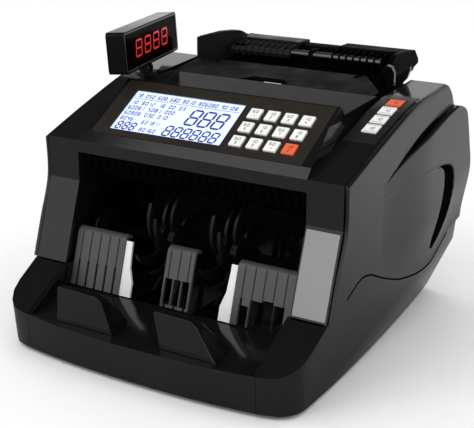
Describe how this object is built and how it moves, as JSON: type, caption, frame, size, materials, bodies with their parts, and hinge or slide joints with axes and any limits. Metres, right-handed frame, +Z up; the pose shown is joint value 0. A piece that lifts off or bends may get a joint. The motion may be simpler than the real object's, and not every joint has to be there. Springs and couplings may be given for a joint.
{
  "type": "banknote counter",
  "caption": "Desk-top banknote counter with a sloping control panel, rear hopper, front stacker tray and a swivelling customer display.",
  "frame": {"origin": "on the table, under the middle of the case, between the feet", "axes": "+Z up, -Y is the front with the stacker tray, +X is the side with the row of side keys"},
  "size_m": [0.254, 0.2724, 0.2117],
  "materials": {
    "case_black": "gloss",
    "cover_black": "gloss",
    "satin_black": "satin",
    "fascia_dark": "satin",
    "display_glass": "gloss",
    "red_window": "gloss",
    "switch_red": "gloss",
    "rubber_black": "matte",
    "plate_grey": "satin",
    "sensor_white": "satin",
    "sheet_steel": "satin",
    "bright_steel": "polished",
    "black_steel": "satin",
    "supply_case": "satin",
    "board_green": "satin",
    "key_white": "satin",
    "key_orange": "satin"
  },
  "bodies": {
    "chassis": {"base_housing": "case_black", "front_tray": "case_black", "bottom_plate": "sheet_steel", "rubber_feet": "rubber_black", "top_housing": "case_black", "side_cover_left": "cover_black", "side_cover_right": "cover_black", "rear_cover": "cover_black", "control_fascia": "fascia_dark", "lcd_module": "display_glass", "side_key_fascia": "fascia_dark", "circuit_boards": "board_green", "power_supply": "supply_case", "frame_plates": "black_steel", "hopper_bed": "satin_black", "hopper_rear_rail": "satin_black", "guide_rod": "bright_steel", "drive_motors": "sheet_steel", "shaft_bearings": "sheet_steel", "drive_belts": "rubber_black", "guide_plate_left": "plate_grey", "guide_plate_centre": "plate_grey", "guide_plate_right": "plate_grey", "sensor_panels": "sensor_white", "exit_guide": "satin_black", "stacker_stops": "case_black", "cover_screws": "bright_steel", "power_inlet": "satin_black", "lid_hinge_pin": "bright_steel"},
    "key_1": {"key_1": "key_white"},
    "key_2": {"key_2": "key_white"},
    "key_3": {"key_3": "key_white"},
    "key_4": {"key_4": "key_white"},
    "key_5": {"key_5": "key_white"},
    "key_6": {"key_6": "key_white"},
    "key_7": {"key_7": "key_white"},
    "key_8": {"key_8": "key_white"},
    "key_9": {"key_9": "key_white"},
    "key_10": {"key_10": "key_white"},
    "key_11": {"key_11": "key_white"},
    "key_12": {"key_12": "key_orange"},
    "side_key_1": {"side_key_1": "key_orange"},
    "side_key_2": {"side_key_2": "key_white"},
    "side_key_3": {"side_key_3": "key_white"},
    "side_key_4": {"side_key_4": "key_white"},
    "lid": {"feed_lid": "case_black"},
    "guide_left": {"hopper_guide_left": "satin_black"},
    "guide_right": {"hopper_guide_right": "satin_black"},
    "knob": {"gap_knob": "case_black"},
    "bracket": {"separator_bracket": "black_steel"},
    "feed_shaft": {"feed_rollers": "rubber_black"},
    "pickup_shaft": {"pickup_rollers": "rubber_black"},
    "main_rotor": {"main_pulley": "bright_steel"},
    "impeller": {"impeller_shaft": "black_steel", "impeller_wheels": "rubber_black"},
    "stacker_rotor": {"stacker_pulley": "bright_steel"},
    "display_swivel": {"display_stalk": "satin_black"},
    "display_head": {"display_case": "case_black", "display_window": "red_window"},
    "rocker": {"rocker_switch": "switch_red"}
  },
  "joints": [
    {"name": "key_1_press", "type": "slide", "parent": "chassis", "child": "key_1", "axis": [0, 0.509, -0.8607], "range_m": [0, 0.0005]},
    {"name": "key_2_press", "type": "slide", "parent": "chassis", "child": "key_2", "axis": [0, 0.509, -0.8607], "range_m": [0, 0.0005]},
    {"name": "key_3_press", "type": "slide", "parent": "chassis", "child": "key_3", "axis": [0, 0.509, -0.8607], "range_m": [0, 0.0005]},
    {"name": "key_4_press", "type": "slide", "parent": "chassis", "child": "key_4", "axis": [0, 0.509, -0.8607], "range_m": [0, 0.0005]},
    {"name": "key_5_press", "type": "slide", "parent": "chassis", "child": "key_5", "axis": [0, 0.509, -0.8607], "range_m": [0, 0.0005]},
    {"name": "key_6_press", "type": "slide", "parent": "chassis", "child": "key_6", "axis": [0, 0.509, -0.8607], "range_m": [0, 0.0005]},
    {"name": "key_7_press", "type": "slide", "parent": "chassis", "child": "key_7", "axis": [0, 0.509, -0.8607], "range_m": [0, 0.0005]},
    {"name": "key_8_press", "type": "slide", "parent": "chassis", "child": "key_8", "axis": [0, 0.509, -0.8607], "range_m": [0, 0.0005]},
    {"name": "key_9_press", "type": "slide", "parent": "chassis", "child": "key_9", "axis": [0, 0.509, -0.8607], "range_m": [0, 0.0005]},
    {"name": "key_10_press", "type": "slide", "parent": "chassis", "child": "key_10", "axis": [0, 0.509, -0.8607], "range_m": [0, 0.0005]},
    {"name": "key_11_press", "type": "slide", "parent": "chassis", "child": "key_11", "axis": [0, 0.509, -0.8607], "range_m": [0, 0.0005]},
    {"name": "key_12_press", "type": "slide", "parent": "chassis", "child": "key_12", "axis": [0, 0.509, -0.8607], "range_m": [0, 0.0005]},
    {"name": "side_key_1_press", "type": "slide", "parent": "chassis", "child": "side_key_1", "axis": [0, 0.1994, -0.9799], "range_m": [0, 0.0005]},
    {"name": "side_key_2_press", "type": "slide", "parent": "chassis", "child": "side_key_2", "axis": [0, 0.2756, -0.9613], "range_m": [0, 0.0005]},
    {"name": "side_key_3_press", "type": "slide", "parent": "chassis", "child": "side_key_3", "axis": [0, 0.294, -0.9558], "range_m": [0, 0.0005]},
    {"name": "side_key_4_press", "type": "slide", "parent": "chassis", "child": "side_key_4", "axis": [0, 0.294, -0.9558], "range_m": [0, 0.0005]},
    {"name": "lid_hinge", "type": "hinge", "parent": "chassis", "child": "lid", "pos_m": [0, 0.0775, 0.1729], "axis": [-1, 0, 0], "range_deg": [0, 90]},
    {"name": "guide_right_slide", "type": "slide", "parent": "chassis", "child": "guide_right", "axis": [1, 0, 0], "range_m": [-0.014, 0.014]},
    {"name": "guide_left_slide", "type": "slide", "parent": "chassis", "child": "guide_left", "axis": [-1, 0, 0], "range_m": [-0.014, 0.014]},
    {"name": "knob_turn", "type": "hinge", "parent": "chassis", "child": "knob", "pos_m": [0.086, 0.076, 0.165], "axis": [0, 0, 1], "range_deg": [0, 540]},
    {"name": "bracket_lift", "type": "slide", "parent": "chassis", "child": "bracket", "axis": [0, 0, 1], "range_m": [0, 0.0015]},
    {"name": "feed_spin", "type": "hinge", "parent": "chassis", "child": "feed_shaft", "pos_m": [0, 0.066, 0.142], "axis": [1, 0, 0], "continuous": true},
    {"name": "pickup_spin", "type": "hinge", "parent": "chassis", "child": "pickup_shaft", "pos_m": [0, 0.096, 0.1435], "axis": [1, 0, 0], "continuous": true},
    {"name": "main_motor_spin", "type": "hinge", "parent": "chassis", "child": "main_rotor", "pos_m": [0, 0.07, 0.062], "axis": [1, 0, 0], "continuous": true},
    {"name": "impeller_spin", "type": "hinge", "parent": "chassis", "child": "impeller", "pos_m": [0, -0.047, 0.07], "axis": [1, 0, 0], "continuous": true},
    {"name": "stacker_motor_spin", "type": "hinge", "parent": "chassis", "child": "stacker_rotor", "pos_m": [0, 0.016, 0.05], "axis": [1, 0, 0], "continuous": true},
    {"name": "display_swivel", "type": "hinge", "parent": "chassis", "child": "display_swivel", "pos_m": [-0.097, 0.022, 0.16], "axis": [0, 0, 1], "range_deg": [-180, 90]},
    {"name": "display_tilt", "type": "hinge", "parent": "display_swivel", "child": "display_head", "pos_m": [-0.097, 0.022, 0.1758], "axis": [-0.2571, 0.9664, 0], "range_deg": [-15, 15]},
    {"name": "rocker_tip", "type": "hinge", "parent": "chassis", "child": "rocker", "pos_m": [0.025, 0.125, 0.028], "axis": [-1, 0, 0], "range_deg": [0, 20]}
  ],
  "couplings": [
    {"joint": "knob_turn", "follows": "bracket_lift", "rad_per_m": 6283.2},
    {"joint": "pickup_spin", "follows": "feed_spin", "ratio": 1},
    {"joint": "main_motor_spin", "follows": "feed_spin", "ratio": 1.75},
    {"joint": "stacker_motor_spin", "follows": "impeller_spin", "ratio": 1.75}
  ]
}
